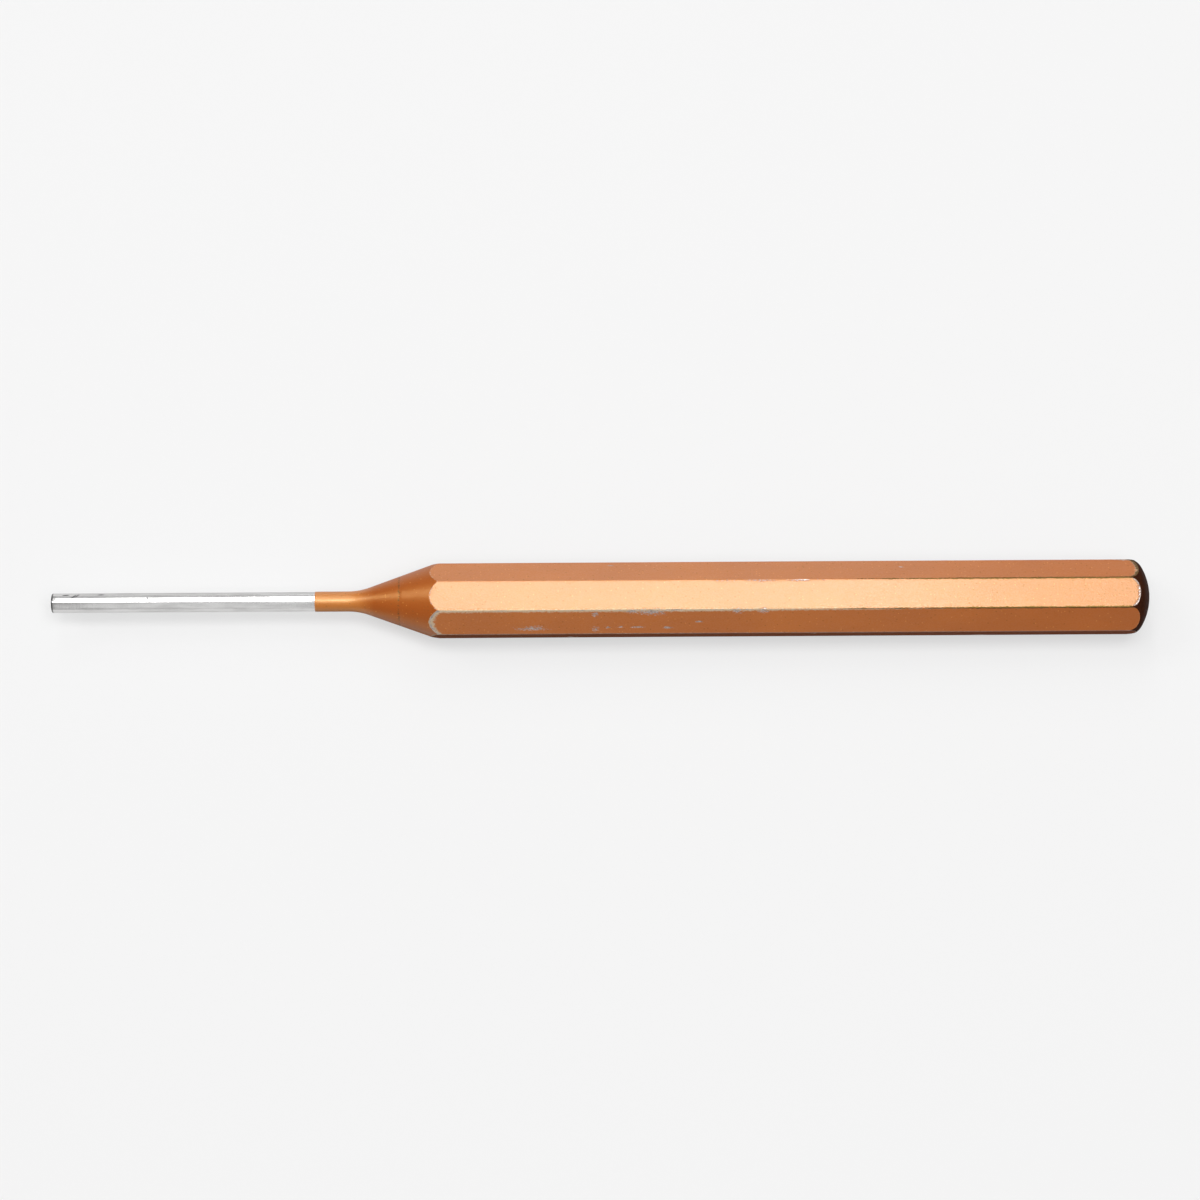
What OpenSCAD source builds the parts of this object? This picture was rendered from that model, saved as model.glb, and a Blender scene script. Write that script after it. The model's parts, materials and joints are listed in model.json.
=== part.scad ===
// Pin punch: a slim ground pin on an octagonal shank with a crowned striking head.
// The steel is one piece. A film of copper-coloured lacquer covers all of it but the front of the pin.
// The tool lies along X on one of its flats, with the pin at -X and the head at +X.

/* [Pin] */
// Diameter of the bright ground pin
pin_d = 2.65; // [1.5:0.05:6]
// Length of the pin, from its tip to where the cone of the neck would meet it
pin_length = 42; // [20:0.5:70]
// Width of the bevel that breaks the edge round the flat tip
tip_bevel = 0.2; // [0.05:0.05:0.6]

/* [Neck] */
// Angle between the cone of the neck and the tool's axis
neck_angle = 19.7; // [12:0.1:35]
// Radius of the hollow fillet that leads the pin into the cone
root_fillet_r = 8.6; // [2:0.1:15]
// Radius of the round cutter nose that left the turned ring on the cone
ring_nose_r = 0.5; // [0.3:0.05:1]
// Depth of the turned ring
ring_depth = 0.05; // [0.02:0.01:0.2]
// Place of the turned ring on the cone, as a share of the way from the pin to the flats
ring_place_share = 0.58; // [0.45:0.01:0.8]

/* [Shank] */
// Length of the bare steel, from the tip of the pin to the top of the crown
steel_length = 150; // [110:1:250]
// Width of the bare octagonal shank across its flats
shank_af = 9.7; // [7:0.1:16]
// Depth to which the eight long corners of the shank are turned down
corner_turn_off = 0.03; // [0.01:0.01:0.2]

/* [Head] */
// Rise of the crown from the corners of the shank to the middle of the striking face
crown_rise = 1.9; // [1.2:0.05:3.5]
// Rounding between the crown and the shank
crown_edge_r = 2.2; // [0.5:0.1:4]

/* [Lacquer] */
// Height of the lacquer film above the steel
lacquer_t = 0.05; // [0.03:0.01:0.2]
// Clearance between the film and the steel under it, so that the two solids share no face
lacquer_clearance = 0.005; // [0.002:0.001:0.02]
// Length of pin that the lacquer covers ahead of the neck
lacquer_lap = 6; // [2.5:0.5:15]

/* [Hidden] */
$fn = 180;

// How far cutting and clipping shapes run past what they cut
overrun = 1;
// How far a rounding's circle stands past the faces that it joins, so that it crosses them at a slight angle
blend_sink = 0.02;

// The octagonal bar: the radius of its flats, of its sharp corners and of the corners once turned down
shank_sides = 8;
half_side_angle = 180 / shank_sides;
flat_r = shank_af / 2;
corner_r = flat_r / cos(half_side_angle);
turned_r = corner_r - corner_turn_off;

// Places on the turned outline are pairs of a radius and a height above the tip of the pin.
// The neck: its cone, the hollow fillet at its root and the ring turned into it
pin_r = pin_d / 2;
neck_length = (flat_r - pin_r) / tan(neck_angle);
cone_normal = [cos(neck_angle), -sin(neck_angle)];
root_fillet_reach = root_fillet_r - blend_sink;
root_fillet_centre = [pin_r + root_fillet_reach, pin_length - root_fillet_reach * tan(neck_angle / 2)];
root_fillet_foot = root_fillet_centre - (root_fillet_r + pin_r / 2) * cone_normal;
ring_place = [pin_r, pin_length] + ring_place_share * [flat_r - pin_r, neck_length];
ring_nose_centre = ring_place + (ring_nose_r - ring_depth) * cone_normal;

// The crowned head: a ball-shaped face that a rounded edge leads into the corners of the shank
crown_r = (turned_r ^ 2 + crown_rise ^ 2) / (2 * crown_rise);
crown_height = steel_length - crown_r;
crown_edge_reach = crown_r + blend_sink - crown_edge_r;
crown_edge_place = turned_r + blend_sink - crown_edge_r;
crown_edge_height = crown_height + sqrt(crown_edge_reach ^ 2 - crown_edge_place ^ 2);

// The lacquer starts with a clean line on the pin
lacquer_start = pin_length - lacquer_lap;

// Everything on the outline's side of the axis up to a height, as wide as any part of the outline
module outline_below(height) {
    translate([0, -overrun]) square([corner_r + overrun, height + overrun]);
}

// What the hollow fillet adds at the root of the neck, under a film of the given thickness
module root_fillet(film) {
    difference() {
        polygon([
            [0, root_fillet_centre[1]],
            root_fillet_centre,
            root_fillet_foot,
            [0, root_fillet_foot[1]],
        ]);
        translate(root_fillet_centre) circle(r = root_fillet_r - film);
    }
}

// Half outline of the pin, the cone and the turned corners of the bar, with a film of the given thickness.
// On the pin the film thins out evenly towards the tip.
module bar_outline(film) {
    tip_r = pin_r + min(film, lacquer_clearance);
    root = [pin_r + film, pin_length - film * tan(neck_angle / 2)];
    cone_end = root[1] + (turned_r + film - root[0]) / tan(neck_angle);
    polygon([
        [0, 0],
        [tip_r - tip_bevel, 0],
        [tip_r, tip_bevel],
        root,
        [turned_r + film, cone_end],
        [turned_r + film, steel_length + overrun],
        [0, steel_length + overrun],
    ]);
}

// Half outline of the whole punch as it is turned, with a film of the given thickness
module turned_outline(film) {
    intersection() {
        difference() {
            union() {
                bar_outline(film);
                root_fillet(film);
            }
            translate(ring_nose_centre) circle(r = ring_nose_r - film);
        }
        union() {
            outline_below(crown_edge_height);
            square([(crown_r + film) * crown_edge_place / crown_edge_reach, steel_length + overrun]);
            translate([crown_edge_place, crown_edge_height]) circle(r = crown_edge_r + film);
        }
        union() {
            outline_below(crown_height);
            translate([0, crown_height]) circle(r = crown_r + film);
        }
    }
}

// The punch upright on its tip: what the turned shape and the octagonal bar have in common
module punch(film) {
    intersection() {
        rotate_extrude() turned_outline(film);
        translate([0, 0, -overrun])
            rotate(half_side_angle)
                linear_extrude(steel_length + 2 * overrun)
                    circle(r = (flat_r + film) / cos(half_side_angle), $fn = shank_sides);
    }
}

// Lays the upright punch along X, on a lacquered flat and centred over the origin
module laid_down() {
    translate([-(steel_length + lacquer_t) / 2, 0, flat_r + lacquer_t]) rotate([0, 90, 0]) children();
}

// The steel: pin, neck, shank and head in one piece
module steel_body() {
    color("silver") laid_down() punch(0);
}

// The lacquer film, from its line on the pin to the crown
module lacquer_coat() {
    color("peru") laid_down() difference() {
        intersection() {
            punch(lacquer_t);
            translate([0, 0, lacquer_start]) cylinder(r = corner_r + overrun, h = steel_length);
        }
        punch(lacquer_clearance);
    }
}

steel_body();
lacquer_coat();
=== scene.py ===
"""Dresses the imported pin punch: bright ground steel under a worn, copper-coloured lacquer film."""
import json
import math

import bpy
import numpy as np
from mathutils import Matrix, Vector


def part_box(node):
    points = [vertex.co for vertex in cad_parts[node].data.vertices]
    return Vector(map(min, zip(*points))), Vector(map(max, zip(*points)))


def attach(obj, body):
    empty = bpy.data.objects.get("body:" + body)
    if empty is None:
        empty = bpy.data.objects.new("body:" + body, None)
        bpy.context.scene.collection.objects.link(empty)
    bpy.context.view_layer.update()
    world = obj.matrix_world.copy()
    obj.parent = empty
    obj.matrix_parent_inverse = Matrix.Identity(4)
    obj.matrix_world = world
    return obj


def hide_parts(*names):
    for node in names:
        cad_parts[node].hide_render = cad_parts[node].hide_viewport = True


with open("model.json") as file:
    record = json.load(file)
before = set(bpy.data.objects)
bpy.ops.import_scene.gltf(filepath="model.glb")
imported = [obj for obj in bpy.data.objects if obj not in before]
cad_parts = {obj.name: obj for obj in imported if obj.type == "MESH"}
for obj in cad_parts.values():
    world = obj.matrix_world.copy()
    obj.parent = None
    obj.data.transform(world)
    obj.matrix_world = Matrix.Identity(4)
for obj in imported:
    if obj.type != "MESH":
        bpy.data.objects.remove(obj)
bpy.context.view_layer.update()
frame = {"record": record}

MM = 0.001

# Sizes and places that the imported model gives
steel_low, steel_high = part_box("steel_body")
film_low, film_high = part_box("lacquer_coat")
pin_mount = next(mount for mount in frame["record"]["mounts"] if mount["name"] == "pin")
PIN_R = pin_mount["dims"]["r_mm"] * MM
TIP_X = steel_low.x
AXIS_Z = (film_low.z + film_high.z) / 2
STEEL_LENGTH = steel_high.x - steel_low.x
FILM_T = film_high.x - steel_high.x
FILM_START = film_low.x - steel_low.x
FLAT_R = (film_high.z - film_low.z) / 2 - FILM_T

# Sizes of the turned shape, as the construction has them
PIN_LENGTH = 42 * MM
TIP_BEVEL = 0.2 * MM
NECK_ANGLE = math.radians(19.7)
ROOT_FILLET_R = 8.6 * MM
RING_NOSE_R = 0.5 * MM
RING_DEPTH = 0.05 * MM
RING_PLACE_SHARE = 0.58
CROWN_RISE = 1.9 * MM
CROWN_EDGE_R = 2.2 * MM

# The softness of the edges, how far the film stands off the steel, and how much of the ring it fills
CORNER_ROUND = 0.2 * MM
SCALLOP_SOFT = 0.12 * MM
FILM_EDGE_SOFT = 0.15 * MM
FILM_CLEARANCE = 0.005 * MM
RING_FILL_SHARE = 0.75

# The octagonal bar. Its side flats start one and a half flats from the middle of the top face.
SIDES = 8
SIDE_ANGLE = 2 * math.pi / SIDES
SIDE_START = 1.5 * SIDE_ANGLE
CORNER_R = FLAT_R / math.cos(SIDE_ANGLE / 2) - CORNER_ROUND * (1 / math.cos(SIDE_ANGLE / 2) - 1)

# The hollow fillet at the root of the neck and the turned ring, by places along the tool and radii
NECK_SLOPE = math.tan(NECK_ANGLE)
FILLET_PLACE = PIN_LENGTH - ROOT_FILLET_R * math.tan(NECK_ANGLE / 2)
RING_RISE = RING_PLACE_SHARE * (FLAT_R - PIN_R)
RING_REACH = RING_NOSE_R - RING_DEPTH
RING_PLACE = PIN_LENGTH + RING_RISE / NECK_SLOPE - RING_REACH * math.sin(NECK_ANGLE)
RING_R = PIN_R + RING_RISE + RING_REACH * math.cos(NECK_ANGLE)

# The crown: a ball-shaped face, and a rounded edge that leads it into the corners of the bar
CROWN_R = (CORNER_R ** 2 + CROWN_RISE ** 2) / (2 * CROWN_RISE)
CROWN_PLACE = STEEL_LENGTH - CROWN_R
EDGE_REACH = CROWN_R - CROWN_EDGE_R
EDGE_R = CORNER_R - CROWN_EDGE_R
EDGE_PLACE = CROWN_PLACE + math.sqrt(EDGE_REACH ** 2 - EDGE_R ** 2)
EDGE_TURN = math.acos(EDGE_R / EDGE_REACH)

# How far along the shank the rings of the mesh stay close together, and the smallest ring of the tip's face
RIM_REACH = 10 * SCALLOP_SOFT
TIP_CENTRE_R = PIN_R / 20

# How many steps the mesh has round the bar, and along each stretch of the outline at full detail
FLAT_STEPS = 14
CORNER_STEPS = 8
FILLET_STEPS = 24
LOWER_CONE_STEPS = 10
RING_STEPS = 10
UPPER_CONE_STEPS = 8
SOFT_STEPS = 8
RIM_STEPS = 6
SHANK_STEPS = 60
EDGE_STEPS = 16
CROWN_STEPS = 24
TIP_STEPS = 8
PIN_STEPS = 80
FILM_EDGE_STEPS = 6
LAP_STEPS = 12
LAP_INSIDE_STEPS = 4
FEWEST_STEPS = 2
# The detail of the faces that show, and of those that the film hides
FULL_DETAIL = 1
HIDDEN_DETAIL = 0.4


def section_angles():
    """Angles round the tool, from the top towards the back, close together over the eight corners."""
    corner_half = math.atan(math.tan(SIDE_ANGLE / 2) * (FLAT_R - CORNER_ROUND) / FLAT_R)
    flat = np.linspace(-corner_half, corner_half, FLAT_STEPS + 1)[:-1]
    corner = np.linspace(corner_half, SIDE_ANGLE - corner_half, CORNER_STEPS + 1)[:-1]
    side = np.concatenate([flat, corner])
    return np.concatenate([side + index * SIDE_ANGLE for index in range(SIDES)])


def turn_from_flat(angles):
    """How far each angle lies from the middle of its flat."""
    return np.abs((angles + SIDE_ANGLE / 2) % SIDE_ANGLE - SIDE_ANGLE / 2)


def octagon_radius(angles, film):
    """Radius of the bar, with its rounded corners, under a film of the given thickness."""
    flat_r = FLAT_R + film
    corner_round = CORNER_ROUND + film
    turn = turn_from_flat(angles)
    across = (flat_r - corner_round) * math.tan(SIDE_ANGLE / 2)
    reach = np.cos(turn) * (flat_r - corner_round) + np.sin(turn) * across
    distance = (flat_r - corner_round) ** 2 + across ** 2
    rounded = reach + np.sqrt(np.maximum(reach ** 2 - distance + corner_round ** 2, 0))
    return np.where(flat_r * np.tan(turn) <= across, flat_r / np.cos(turn), rounded)


def blend(start, bend, end, steps):
    """Points of a soft corner from start to end, as rows of a place along the tool and a radius."""
    share = np.linspace(0, 1, steps + 1)[:, None, None]
    return (1 - share) ** 2 * start + 2 * share * (1 - share) * bend + share ** 2 * end


def line(start, end, steps):
    """Points of a straight stretch from start to end, both ends included."""
    share = np.linspace(0, 1, steps + 1)[:, None, None]
    return (1 - share) * start + share * end


def pair(place, radius, like):
    """One point of the outline for each angle: a place along the tool and a radius."""
    return np.stack([np.broadcast_to(place, like.shape), np.broadcast_to(radius, like.shape)])


def arc(centre, radius, turns, like):
    """Points of an arc about a centre (place, radius). A turn of zero points away from the axis."""
    turns = np.asarray(turns)
    if turns.ndim == 1:
        turns = turns[:, None] + 0 * like
    place = centre[0] + radius * np.sin(turns)
    return np.stack([place, centre[1] + radius * np.cos(turns)], axis=1)


def step_count(full_count, detail):
    """How many steps a stretch has at some share of the full detail."""
    return max(FEWEST_STEPS, round(full_count * detail))


def neck_outline(angles, film, detail):
    """The stretches from the root of the pin to the flats, and the place where each angle reaches the bar."""
    bar = octagon_radius(angles, film)
    pin_r = PIN_R + film
    fillet_turns = np.linspace(math.pi, math.pi - NECK_ANGLE, step_count(FILLET_STEPS, detail) + 1)
    fillet = arc((FILLET_PLACE, PIN_R + ROOT_FILLET_R), ROOT_FILLET_R - film, fillet_turns, angles)

    ring_r = RING_NOSE_R - film
    ring_half = math.acos((RING_REACH + (RING_FILL_SHARE - 1) * film) / ring_r)
    ring_turns = np.linspace(ring_half, -ring_half, step_count(RING_STEPS, detail) + 1) + math.pi - NECK_ANGLE
    fill = RING_FILL_SHARE * film
    ring_centre = (RING_PLACE - fill * math.sin(NECK_ANGLE), RING_R + fill * math.cos(NECK_ANGLE))
    ring = arc(ring_centre, ring_r, ring_turns, angles)

    neck = (bar - pin_r) / NECK_SLOPE + PIN_LENGTH - film * math.tan(NECK_ANGLE / 2)
    soft_place = neck - SCALLOP_SOFT
    soft_r = pin_r + (soft_place - PIN_LENGTH + film * math.tan(NECK_ANGLE / 2)) * NECK_SLOPE
    soft = pair(soft_place, soft_r, angles)
    end = pair(neck + SCALLOP_SOFT, bar, angles)
    stretches = [
        fillet,
        line(fillet[-1], ring[0], step_count(LOWER_CONE_STEPS, detail))[1:-1],
        ring,
        line(ring[-1], soft, step_count(UPPER_CONE_STEPS, detail))[1:-1],
        blend(soft, pair(neck, bar, angles), end, step_count(SOFT_STEPS, detail)),
    ]
    return stretches, neck


def head_outline(angles, film, detail):
    """The stretches from the flats to the top of the crown, and the place where each angle leaves the bar."""
    bar = octagon_radius(angles, film)
    edge_r = CROWN_EDGE_R + film
    head_turn = np.arccos(np.clip((bar - EDGE_R) / edge_r, -1, 1))
    head = EDGE_PLACE + edge_r * np.sin(head_turn)
    start = pair(head - SCALLOP_SOFT, bar, angles)
    soft_turn = head_turn + SCALLOP_SOFT / edge_r
    share = np.linspace(0, 1, step_count(EDGE_STEPS, detail) + 1)[:, None]
    edge = arc((EDGE_PLACE, EDGE_R), edge_r, (1 - share) * soft_turn + share * EDGE_TURN, angles)
    crown_turns = np.linspace(EDGE_TURN, math.pi / 2, step_count(CROWN_STEPS, detail) + 1)[1:-1]
    crown = arc((CROWN_PLACE, 0), CROWN_R + film, crown_turns, angles)
    stretches = [
        blend(start, pair(head, bar, angles), edge[0], step_count(SOFT_STEPS, detail)),
        edge[1:],
        crown,
    ]
    return stretches, head


def outline(angles, film, detail):
    """The outline from the root of the pin to the top of the crown, for each angle, under a film.

    The outline has a row for each step along the tool, and in it a place and a radius for each angle.
    With it come the places where the bar starts at the neck and ends at the head, for each angle.
    """
    bar = octagon_radius(angles, film)
    to_bar, neck = neck_outline(angles, film, detail)
    from_bar, head = head_outline(angles, film, detail)
    shank_start = pair(neck.max() + RIM_REACH, bar, angles)
    shank_end = pair(head.min() - RIM_REACH, bar, angles)
    rim_steps = step_count(RIM_STEPS, detail)
    shank = [
        line(to_bar[-1][-1], shank_start, rim_steps)[1:-1],
        line(shank_start, shank_end, step_count(SHANK_STEPS, detail)),
        line(shank_end, from_bar[0][0], rim_steps)[1:-1],
    ]
    return np.concatenate(to_bar + shank + from_bar), neck, head


def points(rows, angles):
    """The outline's places and radii as points in the frame."""
    place, radius = rows[:, 0], rows[:, 1]
    return np.stack([
        TIP_X + place,
        radius * np.sin(angles),
        AXIS_Z + radius * np.cos(angles),
    ], axis=-1)


def tube_faces(rings, columns):
    """Quads between neighbouring rings of points, facing out where the rings follow the tool."""
    ring, column = np.meshgrid(np.arange(rings - 1), np.arange(columns), indexing="ij")
    after = (column + 1) % columns
    here = ring * columns
    there = here + columns
    quads = np.stack([here + column, there + column, there + after, here + after], axis=-1)
    return quads.reshape(-1, 4).tolist()


def fan_faces(ring_first, columns, pole, outward):
    """Triangles from a ring to the point that closes it."""
    faces = []
    for column in range(columns):
        here, after = ring_first + column, ring_first + (column + 1) % columns
        faces.append((here, pole, after) if outward else (after, pole, here))
    return faces


def piece(name, rows, angles, ends, node):
    """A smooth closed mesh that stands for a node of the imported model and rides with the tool.

    Its points are the rings of the rows, and then the two ends on the axis, which close the outer rings.
    """
    rings, columns = len(rows), len(angles)
    poles = [(TIP_X + place, 0, AXIS_Z) for place in ends]
    vertices = np.concatenate([points(rows, angles).reshape(-1, 3), poles])
    faces = tube_faces(rings, columns)
    faces += fan_faces(0, columns, rings * columns, False)
    faces += fan_faces((rings - 1) * columns, columns, rings * columns + 1, True)
    mesh = bpy.data.meshes.new(name)
    mesh.from_pydata([tuple(vertex) for vertex in vertices], [], faces)
    mesh.validate()
    mesh.polygons.foreach_set("use_smooth", [True] * len(mesh.polygons))
    obj = bpy.data.objects.new(name, mesh)
    bpy.context.scene.collection.objects.link(obj)
    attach(obj, "root")
    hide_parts(node)
    return obj


def make_steel():
    """The steel: tip, pin, neck, shank and crown in one closed mesh."""
    angles = section_angles()
    body, _, _ = outline(angles, 0, HIDDEN_DETAIL)
    tip = pair(0, PIN_R - TIP_BEVEL, angles)
    bevel_bend = pair(0, PIN_R, angles)
    bevel_end = pair(TIP_BEVEL, PIN_R, angles)
    rows = np.concatenate([
        line(pair(0, TIP_CENTRE_R, angles), tip, TIP_STEPS)[:-1],
        blend(tip, bevel_bend, bevel_end, SOFT_STEPS),
        line(bevel_end, body[0], PIN_STEPS)[1:-1],
        body,
    ])
    return piece("steel_punch", rows, angles, (0, STEEL_LENGTH), "steel_body")


# How worn, rubbed and dirty the lacquer is along the long edges, counted from the edge behind the top face.
# Each edge has pairs of a share of the shank, from the neck to the head, and the strength there.
# What is above 0 shows.
CLEAN_SHARES = [(0, -1), (1, -1)]
EDGE_WEAR_SHARES = [
    [(0, -0.9), (0.36, -0.9), (0.40, 0.5), (0.50, 0.7), (0.57, 0.4), (0.62, -0.9), (1, -0.9)],
    [(0, -0.8), (0.22, -0.8), (0.25, 0.2), (0.28, -0.8), (0.7, -0.6), (0.96, -0.3), (0.985, 0.9), (1, 1.1)],
    [(0, 0.2), (0.3, -0.4), (0.6, 0.4), (1, 0.2)],
    [(0, 0.1), (0.5, 0.5), (0.8, 0.0), (1, 0.4)],
    [(0, 0.4), (0.4, -0.1), (0.8, 0.5), (1, 0.3)],
    [(0, 0.1), (0.5, 0.4), (0.7, -0.5), (1, 0.0)],
    [(0, -0.3), (0.5, -0.5), (1, -0.6)],
    [(0, 0.3), (0.25, 0.3), (0.31, 0.7), (0.37, 0.4), (0.46, 0.5), (0.50, 0.0), (0.56, -0.8), (1, -0.9)],
]
# The rubbed line along the edge behind the top face, the first row, is also a painted highlight
EDGE_RUB_AND_HIGHLIGHT_SHARES = [
    [(0, -0.6), (0.4, 0.0), (0.6, -0.2), (1, -0.6)],
    [(0, 0.0), (0.6, -0.3), (1, 0.5)],
    [(0, 0.7), (0.5, 0.4), (1, 0.8)],
    [(0, 0.8), (1, 0.9)],
    [(0, 0.9), (1, 0.8)],
    [(0, 0.8), (0.6, 0.6), (1, 0.7)],
    [(0, 0.4), (0.5, 0.25), (1, 0.1)],
    [(0, 1.2), (0.4, 1.2), (0.55, 0.9), (0.75, 0.5), (1, 0.3)],
]
EDGE_GRIME_SHARES = [
    [(0, -1), (0.55, -1), (0.62, 0.6), (0.75, 0.9), (1, 1.1)],
    CLEAN_SHARES,
    CLEAN_SHARES,
    CLEAN_SHARES,
    CLEAN_SHARES,
    CLEAN_SHARES,
    CLEAN_SHARES,
    [(0, -0.5), (0.3, -0.4), (0.52, -0.2), (0.62, 0.6), (0.8, 1.0), (1, 1.1)],
]
# How far past each long edge the middle of its wear lies
EDGE_WEAR_OFFSETS_MM = [-0.16, 0, 0, 0, 0, 0, -0.05, -0.1]
# How worn, rubbed and dirty the rims of the faces are at the neck and at the head. The faces are counted from
# the top face towards the back.
NECK_RIM_WEAR = [0.4, 0.2, 0.4, 0.6, 0.3, 0.6, 0.5, 1.0]
NECK_RIM_RUB = [0.3, 0.3, 0.6, 0.8, 0.5, 0.8, 0.7, 1.7]
HEAD_RIM_WEAR = [1.05, 1.3, 0.5, 0.7, 0.3, 0.6, 0.4, -0.8]
HEAD_RIM_RUB = [0.9, 1.4, 0.6, 0.9, 0.5, 0.8, 0.6, 0.1]
HEAD_RIM_GRIME = [-1, 1.1, -1, -1, -1, -1, -1, -0.2]
# How dirty the turned ring is
RING_GRIME = 0.36
# How far from its line each kind of wear loses a strength of 1
EDGE_WEAR_WIDTH = 0.26 * MM
EDGE_RUB_AND_HIGHLIGHT_WIDTH = 0.28 * MM
RIM_WEAR_WIDTH = 0.36 * MM
RIM_RUB_WIDTH = 0.45 * MM
GRIME_WIDTH = 0.2 * MM
RIM_GRIME_WIDTH = 0.5 * MM
RING_GRIME_WIDTH = 0.5 * MM
# How soon wear ends past the rims, and how soon the neck's painted shade starts after its root
RIM_FADE = 0.15 * MM
NECK_FADE = 2.2 * MM
# From which angle to the top the lacquer loses its gloss, and where it has lost it
SHANK_DULL = (math.radians(66), math.radians(72))
NECK_DULL = (math.radians(45), math.radians(85))
# The stretch of the shank over which the lacquer turns darker towards the head: painted shade where the light
# falls off
HEAD_SHADE_SHARES = (0.62, 0.92)


def shank_share(place, neck, head):
    """How far along the shank a place lies, from 0 at the neck to 1 at the head."""
    return (place - neck.max()) / (head.min() - neck.max())


def along_edges(tables, edge, share):
    """The strength at each point, from its nearest long edge and its share of the shank."""
    strength = np.empty_like(share)
    for column, index in enumerate(edge):
        strength[:, column] = np.interp(share[:, column], *zip(*tables[index]))
    return strength


def along_rims(strengths, face, distance, width):
    """The strength at each point, from the rim of its face and its distance from there towards the shank."""
    outside = np.maximum(-distance, 0) / RIM_FADE
    return np.array(strengths)[face] - np.abs(distance) / width - outside


def film_wear(place, angles, neck, head):
    """How worn, rubbed and dirty the lacquer is at each point of the film's outer face, with a painted
    highlight in the rubbing along the edge behind the top face.
    """
    edge = np.floor(angles / SIDE_ANGLE).astype(int) % SIDES
    face = np.round(angles / SIDE_ANGLE).astype(int) % SIDES
    edge_distance = FLAT_R * (math.tan(SIDE_ANGLE / 2) - np.tan(turn_from_flat(angles)))
    past_edge = np.where(edge == face, -edge_distance, edge_distance)
    worn_distance = np.abs(past_edge - np.array(EDGE_WEAR_OFFSETS_MM)[edge] * MM)
    share = shank_share(place, neck, head)
    past_neck, before_head = place - neck, head - place
    off_shank = np.maximum(-np.minimum(past_neck, before_head), 0) / RIM_FADE

    wear = along_edges(EDGE_WEAR_SHARES, edge, share) - worn_distance / EDGE_WEAR_WIDTH - off_shank
    rub_and_highlight = along_edges(EDGE_RUB_AND_HIGHLIGHT_SHARES, edge, share) - worn_distance / EDGE_RUB_AND_HIGHLIGHT_WIDTH - off_shank
    grime = along_edges(EDGE_GRIME_SHARES, edge, share) - edge_distance / GRIME_WIDTH - off_shank
    rims = ((NECK_RIM_WEAR, NECK_RIM_RUB, past_neck), (HEAD_RIM_WEAR, HEAD_RIM_RUB, before_head))
    for rim_wear, rim_rub, distance in rims:
        wear = np.maximum(wear, along_rims(rim_wear, face, distance, RIM_WEAR_WIDTH))
        rub_and_highlight = np.maximum(rub_and_highlight, along_rims(rim_rub, face, distance, RIM_RUB_WIDTH))
    grime = np.maximum(grime, np.array(HEAD_RIM_GRIME)[face] - np.abs(before_head) / RIM_GRIME_WIDTH)
    grime = np.maximum(grime, RING_GRIME - np.abs(place - RING_PLACE) / RING_GRIME_WIDTH)
    return {"wear": wear, "rub_and_highlight": rub_and_highlight, "grime": grime}


def film_tones(place, angles, neck, head):
    """Where the lacquer is thin on the pin, painted darker as shade on the neck and towards the head, and
    dull on the sides.
    """
    thin = np.interp(place, [FILM_START, FILLET_PLACE, RING_PLACE], [1, 1, 0])
    on_neck = np.interp(place, [PIN_LENGTH, PIN_LENGTH + NECK_FADE], [0, 1])
    neck_shade = on_neck * np.interp(neck - place, [0, SCALLOP_SOFT], [0, 1])
    head_shade = np.interp(shank_share(place, neck, head), HEAD_SHADE_SHARES, [0, 1])
    from_top = np.abs((angles + math.pi) % (2 * math.pi) - math.pi)
    shank_dull = np.interp(from_top, SHANK_DULL, [0, 1])
    neck_dull = np.interp(from_top, NECK_DULL, [0, 1])
    dull = np.where(place > neck, shank_dull, neck_dull)
    return {"thin": thin, "neck_shade": neck_shade, "head_shade": head_shade, "dull": dull}


# The film's materials, in the order in which its mesh gets them below
TOP_MATERIAL = 0
SIDE_MATERIAL = 1
CROWN_MATERIAL = 2


def choose_materials(obj, angles, neck, head):
    """Gives the shank's side and lower flats and the crown materials of their own, which paint them darker as
    shade.
    """
    middle = np.array([polygon.center for polygon in obj.data.polygons])
    direction = np.arctan2(middle[:, 1], middle[:, 2] - AXIS_Z)
    neck_there = np.interp(direction, angles, neck, period=2 * math.pi)
    head_there = np.interp(direction, angles, head, period=2 * math.pi)
    place = middle[:, 0] - TIP_X
    side = (np.abs(direction) > SIDE_START) & (place > neck_there)
    chosen = np.where(side, SIDE_MATERIAL, TOP_MATERIAL)
    chosen = np.where(place > head_there, CROWN_MATERIAL, chosen)
    obj.data.polygons.foreach_set("material_index", chosen.astype(np.int32))


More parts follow.
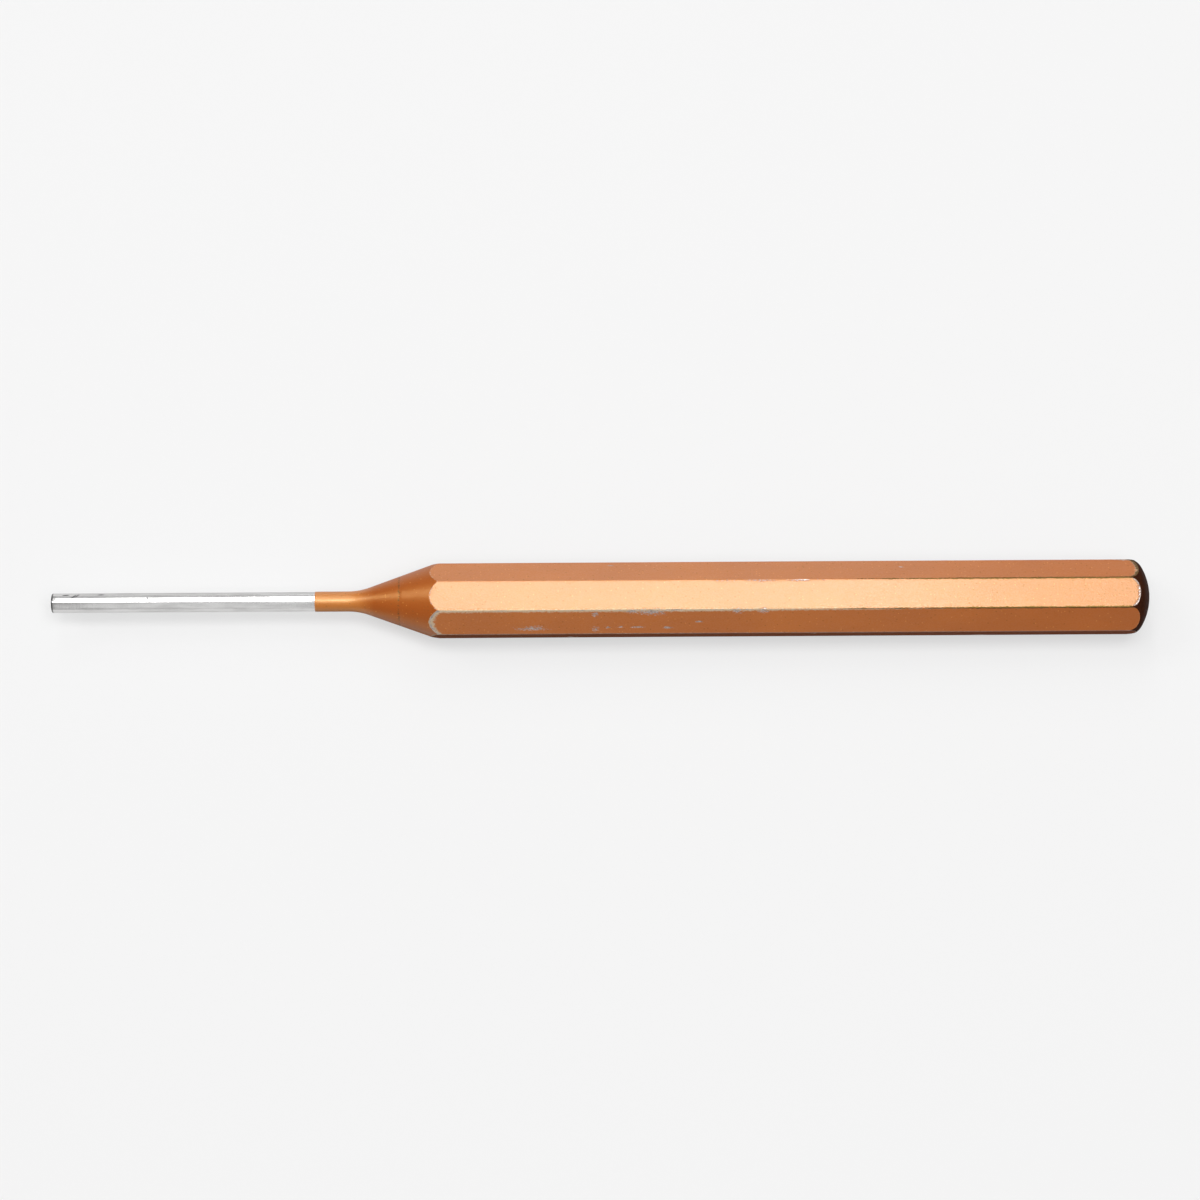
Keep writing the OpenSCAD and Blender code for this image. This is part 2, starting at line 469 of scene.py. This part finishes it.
def make_film():
    """The lacquer film: a closed shell from its line on the pin to the crown, with wear as point values."""
    angles = section_angles()
    outside, neck, head = outline(angles, FILM_T, FULL_DETAIL)
    inside, _, _ = outline(angles, FILM_CLEARANCE, HIDDEN_DETAIL)
    line_inside = pair(FILM_START, PIN_R + FILM_CLEARANCE, angles)
    line_bend = pair(FILM_START, PIN_R + FILM_T, angles)
    line_outside = pair(FILM_START + FILM_EDGE_SOFT, PIN_R + FILM_T, angles)
    outer = np.concatenate([
        blend(line_inside, line_bend, line_outside, FILM_EDGE_STEPS)[1:],
        line(line_outside, outside[0], LAP_STEPS)[1:-1],
        outside,
    ])
    inner = np.concatenate([line(line_inside, inside[0], LAP_INSIDE_STEPS)[:-1], inside])
    rows = np.concatenate([inner[::-1], outer])
    ends = (STEEL_LENGTH + FILM_CLEARANCE, STEEL_LENGTH + FILM_T)
    obj = piece("lacquer_film", rows, angles, ends, "lacquer_coat")
    inner_count = len(inner) * len(angles)
    place = outer[:, 0]
    known = {**film_wear(place, angles, neck, head), **film_tones(place, angles, neck, head)}
    for name, values in known.items():
        every_point = np.concatenate([np.zeros(inner_count), values.ravel(), [0, values[-1].mean()]])
        obj.data.attributes.new(name, "FLOAT", "POINT").data.foreach_set("value", every_point)
    choose_materials(obj, angles, neck, head)
    return obj


steel = make_steel()
film = make_film()

# The mix node's inputs for a share and two colours, and its output for a colour
MIX_INPUTS = (0, 6, 7)
MIX_OUTPUT = 2
# The middle of a noise's values, and how many finer layers it has in plain, cloudy and ragged patterns
NOISE_MIDDLE = 0.5
PLAIN_DETAIL = 2
CLOUDY_DETAIL = 3
RAGGED_DETAIL = 4


def feed(tree, socket, value):
    """Links a socket to a node's input, or sets the input to any other value."""
    if isinstance(value, bpy.types.NodeSocket):
        tree.links.new(value, socket)
    else:
        socket.default_value = value


def add_node(tree, kind, inputs, **settings):
    """Adds a shader node with its inputs and settings and returns its first output."""
    node = tree.nodes.new(kind)
    for name, value in settings.items():
        setattr(node, name, value)
    for key, value in inputs.items():
        feed(tree, node.inputs[key], value)
    return node.outputs[0]


def new_material(name):
    """An empty material, its node tree and the places on the piece, in metres in the frame."""
    material = bpy.data.materials.new(name)
    material.use_nodes = True
    tree = material.node_tree
    tree.nodes.clear()
    where = tree.nodes.new("ShaderNodeTexCoord").outputs["Object"]
    return material, tree, where


def show(tree, shader):
    """Makes a shader the material's surface."""
    output = tree.nodes.new("ShaderNodeOutputMaterial")
    tree.links.new(shader, output.inputs["Surface"])


def calculate(tree, operation, *values):
    """A number worked out from numbers."""
    return add_node(tree, "ShaderNodeMath", dict(enumerate(values)), operation=operation)


def point_value(tree, name):
    """A value that the mesh holds for each of its points."""
    node = tree.nodes.new("ShaderNodeAttribute")
    node.attribute_name = name
    return node.outputs["Fac"]


def ramp(tree, value, start, end, low=0, high=1):
    """A soft step from low to high, while the value goes from start to end."""
    return add_node(tree, "ShaderNodeMapRange", {
        "Value": value, "From Min": start, "From Max": end, "To Min": low, "To Max": high,
    }, interpolation_type="SMOOTHSTEP")


def mix_colour(tree, share, first, second, blend_type="MIX"):
    """A colour between two, or the second alone where the share is 1. Other blends combine them there."""
    node = tree.nodes.new("ShaderNodeMix")
    node.data_type = "RGBA"
    node.blend_type = blend_type
    for index, value in zip(MIX_INPUTS, (share, first, second)):
        feed(tree, node.inputs[index], (*value, 1) if isinstance(value, tuple) else value)
    return node.outputs[MIX_OUTPUT]


def noise(tree, where, sizes, detail):
    """A cloudy value about 0, with features of the given sizes along the three axes."""
    scales = [1 / size for size in sizes]
    scaled = add_node(tree, "ShaderNodeVectorMath", {0: where, 1: scales}, operation="MULTIPLY")
    cloud = add_node(tree, "ShaderNodeTexNoise", {"Vector": scaled, "Scale": 1, "Detail": detail})
    return calculate(tree, "SUBTRACT", cloud, NOISE_MIDDLE)


def specks(tree, where, spacing, reach, chosen_share):
    """Small round spots: 1 in the middle of some cells of a random pattern, and 0 elsewhere."""
    node = tree.nodes.new("ShaderNodeTexVoronoi")
    node.inputs["Scale"].default_value = 1 / spacing
    tree.links.new(where, node.inputs["Vector"])
    chance = tree.nodes.new("ShaderNodeSeparateColor")
    tree.links.new(node.outputs["Color"], chance.inputs[0])
    chosen = calculate(tree, "LESS_THAN", chance.outputs["Red"], chosen_share)
    near = ramp(tree, node.outputs["Distance"], reach / spacing, 0)
    return calculate(tree, "MULTIPLY", chosen, near)


def spots(tree, where, placed):
    """How deep a place lies in the nearest of some spots: 1 in its middle, 0 at its rim, less outside."""
    nearest = None
    for centre, turn, half_sizes in placed:
        inside = add_node(tree, "ShaderNodeMapping", {
            "Vector": where, "Location": centre, "Rotation": turn, "Scale": half_sizes,
        }, vector_type="TEXTURE")
        away = tree.nodes.new("ShaderNodeVectorMath")
        away.operation = "LENGTH"
        tree.links.new(inside, away.inputs[0])
        reach = away.outputs["Value"]
        nearest = reach if nearest is None else calculate(tree, "MINIMUM", nearest, reach)
    return calculate(tree, "SUBTRACT", 1, nearest)


# Chips in the lacquer on each face, counted from the top face towards the back. Each chip has its place along
# the tool from the middle, its place across the face towards the back, its half length and its half width.
CHIPS_MM = {
    7: [
        (-9.3, -1.1, 2.2, 0.46), (-0.7, 1.35, 0.5, 0.5), (-0.7, -1.25, 0.5, 0.46), (1.0, -0.95, 0.45, 0.2),
        (2.7, -0.9, 0.5, 0.2), (5.0, -0.95, 1.0, 0.17), (9.1, -1.05, 0.8, 0.24), (13.4, -0.05, 0.6, 0.16),
        (4.3, 1.75, 0.9, 0.42), (6.8, 1.6, 2.4, 0.56), (18.5, 1.75, 0.8, 0.44), (22.1, 1.75, 0.8, 0.5),
    ],
    1: [(1.4, 1.35, 0.5, 0.16), (41.0, 0.6, 0.4, 0.14), (73.0, 0.8, 0.55, 1.0)],
    2: [(-12.0, 1.2, 1.3, 0.3), (17.5, -0.4, 0.6, 0.25), (48.0, 1.4, 1.6, 0.4)],
    3: [(4.0, -1.5, 1.4, 0.35), (31.0, 0.5, 0.7, 0.3)],
    4: [(-15.0, 0.8, 0.9, 0.35), (24.0, -1.3, 1.7, 0.4), (57.0, 0.2, 0.6, 0.3)],
    5: [(12.0, 1.4, 1.2, 0.35), (44.0, -0.9, 0.8, 0.25)],
    6: [(-4.0, -1.2, 1.1, 0.3), (29.0, 1.0, 0.5, 0.2), (52.0, -1.5, 1.5, 0.35)],
}
CHIP_DEPTH = 0.4 * MM


def chip_spots():
    """The chips as spots in the frame, each flat on its face."""
    placed = []
    out = FLAT_R + FILM_T
    for face, chips in CHIPS_MM.items():
        turn = face * SIDE_ANGLE
        for along, across, half_length, half_width in chips:
            y = out * math.sin(turn) + across * MM * math.cos(turn)
            z = AXIS_Z + out * math.cos(turn) - across * MM * math.sin(turn)
            half_sizes = (half_length * MM, half_width * MM, CHIP_DEPTH)
            placed.append(((along * MM, y, z), (-turn, 0, 0), half_sizes))
    return placed


# Colours of the lacquer and of what shows through it or lies on it
LACQUER_DEEP = (0.405, 0.083, 0.004)
LACQUER_BRIGHT = (0.465, 0.103, 0.006)
# The side and lower flats' lacquer, painted darker as shade, since they face away from the light
SIDE_SHADE_DEEP = (0.26, 0.054, 0.003)
SIDE_SHADE_BRIGHT = (0.30, 0.066, 0.004)
THIN_LACQUER = (0.50, 0.135, 0.008)
# The neck's lacquer, painted darker as shade where the cone turns away from the light
NECK_SHADE_LACQUER = (0.335, 0.055, 0.002)
# Painted shade towards the head, where the light falls off
HEAD_SHADE_TINT = (0.90, 0.80, 0.65)
# Gold flakes, painted as bright specks that stand in for their glints
FLAKE_GLINT_GOLD = (0.90, 0.42, 0.10)
PIT_BROWN = (0.14, 0.04, 0.008)
# Rubbed lacquer, and a painted highlight along the edge behind the top face
RUB_AND_HIGHLIGHT_TAN = (0.57, 0.45, 0.32)
GRIME_BROWN = (0.040, 0.016, 0.009)
WORN_DARK = (0.34, 0.27, 0.25)
WORN_LIGHT = (0.62, 0.55, 0.52)
GOLD_SHEEN = (0.88, 0.55, 0.14, 1)

# The scale of the lacquer's surface
TONE_SIZES = (14 * MM, 5 * MM, 5 * MM)
RAGGED_SIZES = (0.34 * MM, 0.2 * MM, 0.2 * MM)
LUMP_SIZES = (2.6 * MM, 0.9 * MM, 0.9 * MM)
GRAIN_SIZES = (0.22 * MM, 0.17 * MM, 0.17 * MM)
FLAKE_SPACING = 0.48 * MM
FLAKE_REACH = 0.13 * MM
FLAKE_SHARE = 0.3
FLAKE_GLINT_STRENGTH = 0.5
PIT_SPACING = 0.52 * MM
PIT_REACH = 0.16 * MM
PIT_SHARE = 0.3
PIT_STRENGTH = 0.6
FILM_STEP = 0.04 * MM
PEEL_DEPTH = 0.02 * MM

# How much the ragged noise and the lumps break up each kind of wear, and the strength at which it is complete
WEAR_RAGGED = 2.6
WEAR_LUMPY = 2.0
CHIP_RAGGED = 3.4
WEAR_FULL = 1.0
GRIME_RAGGED = 1.8
GRIME_LUMPY = 1.2
GRIME_FULL = 0.6
RUB_AND_HIGHLIGHT_RAGGED = 2.2
RUB_AND_HIGHLIGHT_FULL = 0.9
# The values of a noise between which a colour or a gloss changes
TONE_SPREAD = (-0.2, 0.2)
BARE_SPREAD = (-0.2, 0.2)
GLOSS_SPREAD = (-0.2, 0.15)

# The gloss: what the grain and the painted shade near the head leave of it, and what rubbing, with its
# painted highlight, and the neck take
GRAIN_GLOSS = (0.72, 1)
HEAD_GLOSS = (1, 0.72)
RUB_AND_HIGHLIGHT_GLOSS_LOSS = 0.7
NECK_GLOSS_LOSS = 0.7
# The roughness of whole and of worn lacquer, and what it gains where the lacquer is thin, in painted shade on
# the neck, or dull
WORN_ROUGHNESS = (0.46, 0.42)
THIN_ROUGHNESS_GAIN = -0.1
NECK_SHADE_ROUGHNESS_GAIN = -0.08
DULL_ROUGHNESS_GAIN = 0.3
# The golden sheen of the lacquer, which is weak on the sides, and the clear gloss over it
LACQUER_IOR = 2.26
TOP_SHEEN = 0.5
SIDE_SHEEN = 0.04
COAT_ROUGHNESS = 0.3
COAT_IOR = 1.6


def lacquer_damage(tree, where, ragged, lumps):
    """Where the lacquer is worn or chipped to the steel, where it is dirty, and where it is rubbed, which
    also paints a highlight along one edge.
    """
    frayed = calculate(tree, "MULTIPLY_ADD", ragged, WEAR_RAGGED, point_value(tree, "wear"))
    edges = calculate(tree, "MULTIPLY_ADD", lumps, WEAR_LUMPY, frayed)
    chips = calculate(tree, "MULTIPLY_ADD", ragged, CHIP_RAGGED, spots(tree, where, chip_spots()))
    worn = ramp(tree, calculate(tree, "MAXIMUM", edges, chips), 0, WEAR_FULL)
    dirt = calculate(tree, "MULTIPLY_ADD", lumps, GRIME_LUMPY, point_value(tree, "grime"))
    grime = ramp(tree, calculate(tree, "MULTIPLY_ADD", ragged, GRIME_RAGGED, dirt), 0, GRIME_FULL)
    rubs_and_highlights = calculate(tree, "MULTIPLY_ADD", ragged, RUB_AND_HIGHLIGHT_RAGGED, point_value(tree, "rub_and_highlight"))
    return worn, grime, ramp(tree, rubs_and_highlights, 0, RUB_AND_HIGHLIGHT_FULL)


def lacquer_material(name, deep_colour, bright_colour, sheen):
    """Copper-coloured lacquer with a golden sheen under a clear gloss, chipped and worn to the steel."""
    material, tree, where = new_material(name)
    ragged = noise(tree, where, RAGGED_SIZES, RAGGED_DETAIL)
    lumps = noise(tree, where, LUMP_SIZES, PLAIN_DETAIL)
    grain = noise(tree, where, GRAIN_SIZES, PLAIN_DETAIL)
    tone = noise(tree, where, TONE_SIZES, CLOUDY_DETAIL)
    # Gold flakes as bright specks in the colour: painted glints
    flake_glints = specks(tree, where, FLAKE_SPACING, FLAKE_REACH, FLAKE_SHARE)
    flake_glints = calculate(tree, "MULTIPLY", flake_glints, FLAKE_GLINT_STRENGTH)
    pits = specks(tree, where, PIT_SPACING, PIT_REACH, PIT_SHARE)
    pits = calculate(tree, "MULTIPLY", pits, PIT_STRENGTH)
    thin, neck_shade, head_shade, dull = (point_value(tree, tone_name) for tone_name in ("thin", "neck_shade", "head_shade", "dull"))
    worn, grime, rubbed_and_highlighted = lacquer_damage(tree, where, ragged, lumps)

    colour = mix_colour(tree, ramp(tree, tone, *TONE_SPREAD), deep_colour, bright_colour)
    colour = mix_colour(tree, thin, colour, THIN_LACQUER)
    # Painted shade: darker on the neck and towards the head
    colour = mix_colour(tree, neck_shade, colour, NECK_SHADE_LACQUER)
    colour = mix_colour(tree, head_shade, colour, HEAD_SHADE_TINT, "MULTIPLY")
    colour = mix_colour(tree, flake_glints, colour, FLAKE_GLINT_GOLD)
    colour = mix_colour(tree, pits, colour, PIT_BROWN)
    colour = mix_colour(tree, rubbed_and_highlighted, colour, RUB_AND_HIGHLIGHT_TAN)
    bare = mix_colour(tree, ramp(tree, grain, *BARE_SPREAD), WORN_DARK, WORN_LIGHT)
    colour = mix_colour(tree, worn, colour, bare)
    colour = mix_colour(tree, grime, colour, GRIME_BROWN)

    spoilt = calculate(tree, "MAXIMUM", pits, grime)
    thinned = calculate(tree, "MAXIMUM", spoilt, calculate(tree, "MULTIPLY", rubbed_and_highlighted, RUB_AND_HIGHLIGHT_GLOSS_LOSS))
    muted = calculate(tree, "MAXIMUM", dull, calculate(tree, "MULTIPLY", neck_shade, NECK_GLOSS_LOSS))
    lost = calculate(tree, "MAXIMUM", thinned, muted)
    covered = calculate(tree, "SUBTRACT", 1, calculate(tree, "MAXIMUM", worn, lost))
    gloss = calculate(tree, "MULTIPLY", covered, ramp(tree, grain, *GLOSS_SPREAD, *GRAIN_GLOSS))
    gloss = calculate(tree, "MULTIPLY", gloss, ramp(tree, head_shade, 0, 1, *HEAD_GLOSS))

    roughness = ramp(tree, worn, 0, 1, *WORN_ROUGHNESS)
    gains = ((thin, THIN_ROUGHNESS_GAIN), (neck_shade, NECK_SHADE_ROUGHNESS_GAIN), (dull, DULL_ROUGHNESS_GAIN))
    for share, gain in gains:
        roughness = calculate(tree, "MULTIPLY_ADD", share, gain, roughness)

    bared = calculate(tree, "MULTIPLY", worn, calculate(tree, "SUBTRACT", 1, grime))
    peel = add_node(tree, "ShaderNodeBump", {"Height": grain, "Distance": PEEL_DEPTH})
    film_height = calculate(tree, "SUBTRACT", 1, worn)
    bump = add_node(tree, "ShaderNodeBump", {"Height": film_height, "Distance": FILM_STEP, "Normal": peel})
    shader = add_node(tree, "ShaderNodeBsdfPrincipled", {
        "Base Color": colour,
        "Metallic": bared,
        "Roughness": roughness,
        "IOR": LACQUER_IOR,
        "Specular IOR Level": sheen,
        "Normal": bump,
        "Specular Tint": GOLD_SHEEN,
        "Coat Weight": gloss,
        "Coat Roughness": COAT_ROUGHNESS,
        "Coat IOR": COAT_IOR,
        "Coat Normal": bump,
    })
    show(tree, shader)
    return material


# The striking face: painted dark brown as shade, since it faces away from the light; dull and a little
# blotchy
CROWN_DARK = (0.032, 0.008, 0.003)
CROWN_LIGHT = (0.056, 0.017, 0.007)
CROWN_SIZES = (0.5 * MM, 0.5 * MM, 0.5 * MM)
CROWN_COLOUR_SPREAD = (-0.2, 0.25)
CROWN_ROUGH_SPREAD = (-0.2, 0.2)
CROWN_ROUGHNESS = (0.55, 0.75)
CROWN_SHEEN = 0.03


def crown_shade_material():
    """The dull lacquer on the crown of the head, painted dark brown as shade."""
    material, tree, where = new_material("shaded_crown")
    blotches = noise(tree, where, CROWN_SIZES, RAGGED_DETAIL)
    colour = mix_colour(tree, ramp(tree, blotches, *CROWN_COLOUR_SPREAD), CROWN_DARK, CROWN_LIGHT)
    bump = add_node(tree, "ShaderNodeBump", {"Height": blotches, "Distance": PEEL_DEPTH})
    shader = add_node(tree, "ShaderNodeBsdfPrincipled", {
        "Base Color": colour,
        "Roughness": ramp(tree, blotches, *CROWN_ROUGH_SPREAD, *CROWN_ROUGHNESS),
        "Specular IOR Level": CROWN_SHEEN,
        "Normal": bump,
    })
    show(tree, shader)
    return material


# Scratches near the tip. Each has its place from the tip and across the tool, its turn in degrees, its half
# length and its half width.
SCRATCHES_MM = [
    (3.1, 0.75, 40, 0.6, 0.1),
    (3.6, 0.9, 40, 0.5, 0.09),
    (2.0, 0.95, 5, 0.7, 0.09),
    (6.8, 1.0, 2, 0.6, 0.08),
    (13.2, 0.4, 110, 0.22, 0.08),
]
SCRATCH_DEPTH = 1.0 * MM
SCRATCH_FULL = 0.4

# Colours of the steel, and of its scratches and of the painted shade on the edge of its tip
STEEL_DARK = (0.58, 0.575, 0.57)
STEEL_BRIGHT = (0.72, 0.715, 0.71)
SCRATCH_AND_SHADE_GREY = (0.06, 0.06, 0.06)
STEEL_EDGE = (0.75, 0.75, 0.75, 1)

# The scale of the ground steel's surface
STREAK_SIZES = (7 * MM, 0.12 * MM, 0.12 * MM)
GRIND_SIZES = (0.11 * MM, 2.5 * MM, 2.5 * MM)
GRIND_DEPTH = 0.002 * MM
STREAK_HEIGHT_SHARE = 0.5
STAIN_SIZES = (4 * MM, 0.8 * MM, 0.8 * MM)
STAIN_SPREAD = (-0.25, 0.2)
STEEL_ROUGHNESS = 0.13
STREAK_ROUGHNESS_GAIN = 0.08

# The painted shade on the edge of the tip, where its bevel reflects no light: where along the pin it ends,
# from dark to bright, and how far in it reaches
TIP_DARK = 0.12 * MM
TIP_BRIGHT = 0.3 * MM
TIP_RIM = 0.35 * MM


def scratch_spots():
    """The scratches as long thin spots on the top of the pin."""
    placed = []
    for along, across, turn, half_length, half_width in SCRATCHES_MM:
        centre = (TIP_X + along * MM, across * MM, AXIS_Z + PIN_R)
        half_sizes = (half_length * MM, half_width * MM, SCRATCH_DEPTH)
        placed.append((centre, (0, 0, math.radians(turn)), half_sizes))
    return placed


def tip_shade(tree, where):
    """1 on the painted shade round the flat tip of the pin, over its bevel, and 0 elsewhere."""
    split = tree.nodes.new("ShaderNodeSeparateXYZ")
    tree.links.new(where, split.inputs[0])
    along, across, up = split.outputs
    tip = ramp(tree, along, TIP_X + TIP_BRIGHT, TIP_X + TIP_DARK)
    rise = calculate(tree, "SUBTRACT", up, AXIS_Z)
    squares = calculate(tree, "MULTIPLY_ADD", rise, rise, calculate(tree, "MULTIPLY", across, across))
    rim = ramp(tree, calculate(tree, "SQRT", squares), PIN_R - TIP_RIM, PIN_R - TIP_BEVEL)
    return calculate(tree, "MULTIPLY", tip, rim)


def steel_material():
    """Bright steel, finely ground round the pin, with faint stains, a few scratches and painted shade on the
    tip's edge.
    """
    material, tree, where = new_material("bright_steel")
    streaks = noise(tree, where, STREAK_SIZES, PLAIN_DETAIL)
    grinding = noise(tree, where, GRIND_SIZES, PLAIN_DETAIL)
    stains = noise(tree, where, STAIN_SIZES, CLOUDY_DETAIL)
    scratched = ramp(tree, spots(tree, where, scratch_spots()), 0, SCRATCH_FULL)
    scratches_and_tip_shade = calculate(tree, "MAXIMUM", scratched, tip_shade(tree, where))
    colour = mix_colour(tree, ramp(tree, stains, *STAIN_SPREAD), STEEL_DARK, STEEL_BRIGHT)
    height = calculate(tree, "MULTIPLY_ADD", streaks, STREAK_HEIGHT_SHARE, grinding)
    shader = add_node(tree, "ShaderNodeBsdfPrincipled", {
        "Base Color": mix_colour(tree, scratches_and_tip_shade, colour, SCRATCH_AND_SHADE_GREY),
        "Metallic": 1,
        "Roughness": calculate(tree, "MULTIPLY_ADD", streaks, STREAK_ROUGHNESS_GAIN, STEEL_ROUGHNESS),
        "Normal": add_node(tree, "ShaderNodeBump", {"Height": height, "Distance": GRIND_DEPTH}),
        "Specular Tint": STEEL_EDGE,
    })
    show(tree, shader)
    return material


film.data.materials.append(lacquer_material("copper_lacquer", LACQUER_DEEP, LACQUER_BRIGHT, TOP_SHEEN))
# The side and lower flats: the lacquer in painted shade, darker and with little sheen
film.data.materials.append(lacquer_material("shaded_side_lacquer", SIDE_SHADE_DEEP, SIDE_SHADE_BRIGHT, SIDE_SHEEN))
film.data.materials.append(crown_shade_material())
steel.data.materials.append(steel_material())

# The floor: plain and pale, with its size in metres
FLOOR_SIZE = 8
FLOOR_GAP = 0.02 * MM
FLOOR_PALE = (0.3, 0.3, 0.3)
FLOOR_DIM = (0.05, 0.05, 0.05)
FLOOR_GLOW = 0.57


def seen_rays(tree):
    """1 for what is seen directly, in a reflection or through glass, and 0 for the light that spreads."""
    rays = tree.nodes.new("ShaderNodeLightPath").outputs
    seen = calculate(tree, "MAXIMUM", rays["Is Camera Ray"], rays["Is Glossy Ray"])
    return calculate(tree, "MAXIMUM", seen, rays["Is Transmission Ray"])


def make_floor():
    """The floor: pale where it is seen, also in reflections, but throwing little light up at the tool."""
    mesh = bpy.data.meshes.new("floor")
    half = FLOOR_SIZE / 2
    corners = [(-half, -half, 0), (half, -half, 0), (half, half, 0), (-half, half, 0)]
    mesh.from_pydata(corners, [], [(0, 1, 2, 3)])
    obj = bpy.data.objects.new("floor", mesh)
    obj.location.z = -FLOOR_GAP
    bpy.context.scene.collection.objects.link(obj)
    material, tree, _ = new_material("pale_floor")
    seen = seen_rays(tree)
    colour = mix_colour(tree, seen, FLOOR_DIM, FLOOR_PALE)
    plain = add_node(tree, "ShaderNodeBsdfDiffuse", {"Color": colour})
    glow = add_node(tree, "ShaderNodeEmission", {"Strength": calculate(tree, "MULTIPLY", seen, FLOOR_GLOW)})
    show(tree, add_node(tree, "ShaderNodeAddShader", {0: plain, 1: glow}))
    mesh.materials.append(material)


make_floor()

# Lights: flat panels at one distance round the tool's axis. The radiance is how bright a panel looks, with 1
# as bright as white paper in plain light.
CENTRE = Vector((0, 0, AXIS_Z))
# The distance, and the panels' places along the tool, widths and depths, are in metres
LIGHT_DISTANCE = 1
PANELS = [
    # name, tilt behind the vertical in degrees, place along the tool, width, depth, radiance
    ("strip", 9.5, 0, 0.72, 0.22, 10.5),
    ("pin_box", 36, -0.19, 0.13, 0.74, 2.2),
    ("lap_box", 43, -0.1, 0.05, 0.5, 11),
    ("pin_back", 76, -0.18, 0.14, 0.46, 0.3),
    ("pin_front", -45, -0.18, 0.14, 1.86, 0.45),
    ("back_card", 82.5, 0.02, 0.22, 0.24, 4.2),
    ("front_card", -7, 0.2, 0.48, 0.46, 5.7),
    ("left_card", 24, -0.8, 0.6, 0.4, 4.4),
]


def panel(name, behind, along, width, depth, radiance):
    """A flat soft light that faces the tool's axis."""
    light = bpy.data.lights.new(name, "AREA")
    light.shape = "RECTANGLE"
    light.size, light.size_y = width, depth
    light.energy = radiance * math.pi * width * depth
    obj = bpy.data.objects.new(name, light)
    turn = Matrix.Rotation(math.radians(-behind), 4, "X")
    obj.matrix_world = Matrix.Translation(CENTRE) @ turn @ Matrix.Translation((along, 0, LIGHT_DISTANCE))
    bpy.context.scene.collection.objects.link(obj)


for settings in PANELS:
    panel(*settings)

# The room
ROOM_WHITE = (1, 1, 1, 1)
ROOM_SEEN = 0.45
ROOM_DIM = 0.1


def make_room():
    """The room: grey where it is seen, also in reflections, but throwing little light on the tool."""
    world = bpy.data.worlds.new("room")
    bpy.context.scene.world = world
    world.use_nodes = True
    tree = world.node_tree
    level = calculate(tree, "MULTIPLY_ADD", seen_rays(tree), ROOM_SEEN - ROOM_DIM, ROOM_DIM)
    background = tree.nodes["Background"].inputs
    feed(tree, background["Strength"], level)
    feed(tree, background["Color"], ROOM_WHITE)


make_room()

# The camera. Its lens and its sensor are in millimetres.
LENS = 100
SENSOR = 36
DISTANCE = 456.2 * MM
AIM_SHIFT = -0.06 * MM
ELEVATION = math.radians(82.2)
ROLL = math.radians(0.344)


def make_camera():
    """The camera, which looks down on the tool at the photo's angle."""
    data = bpy.data.cameras.new("camera")
    data.lens, data.sensor_width = LENS, SENSOR
    aim = CENTRE + Vector((AIM_SHIFT, 0, 0))
    back = Vector((0, -math.cos(ELEVATION), math.sin(ELEVATION)))
    up = Vector((0, math.sin(ELEVATION), math.cos(ELEVATION)))
    right = Vector((math.cos(ROLL), 0, 0)) - up * math.sin(ROLL)
    rolled_up = up * math.cos(ROLL) + Vector((math.sin(ROLL), 0, 0))
    turn = Matrix((right, rolled_up, back)).transposed().to_4x4()
    obj = bpy.data.objects.new("camera", data)
    obj.matrix_world = Matrix.Translation(aim + back * DISTANCE) @ turn
    bpy.context.scene.collection.objects.link(obj)
    bpy.context.scene.camera = obj


make_camera()

bpy.context.scene.view_settings.view_transform = "Standard"
